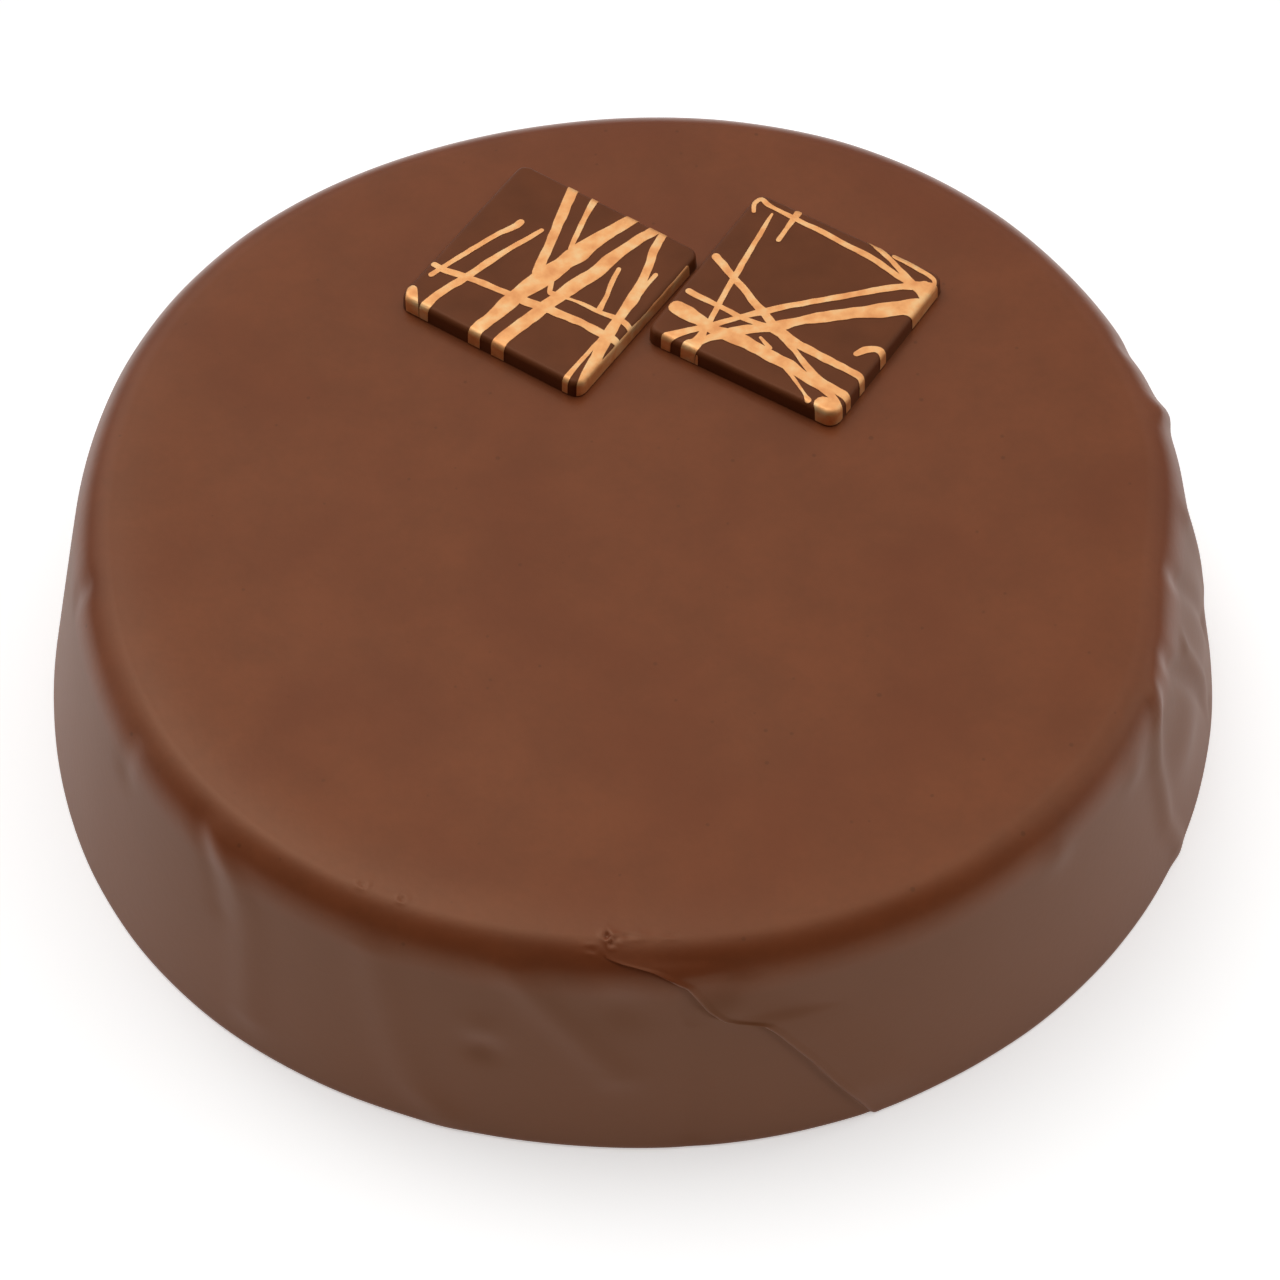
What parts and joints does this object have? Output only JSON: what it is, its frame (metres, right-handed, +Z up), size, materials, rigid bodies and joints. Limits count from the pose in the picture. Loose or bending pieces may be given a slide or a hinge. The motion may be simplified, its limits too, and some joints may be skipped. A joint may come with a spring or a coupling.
{
  "type": "biscuit cake",
  "caption": "Round biscuit cake in a thin milk chocolate coating with an overlap at the front, topped with dark moulded chocolate squares painted in copper strokes.",
  "frame": {"origin": "centre of the cake's footprint, on the surface that it stands on", "axes": "+Z up; -Y towards the front, where the coating's overlap runs down the side; the chocolate squares lie towards +Y"},
  "size_m": [0.1792, 0.1783, 0.045],
  "materials": {
    "milk_chocolate": "rolled milk chocolate coating, satin",
    "dark_chocolate": "moulded dark chocolate, semi-gloss",
    "copper_lustre": "brushed copper-gold food lustre, satin"
  },
  "bodies": {
    "root": {"cake": "milk_chocolate", "plaque_left": "dark_chocolate", "plaque_right": "dark_chocolate"}
  },
  "joints": []
}
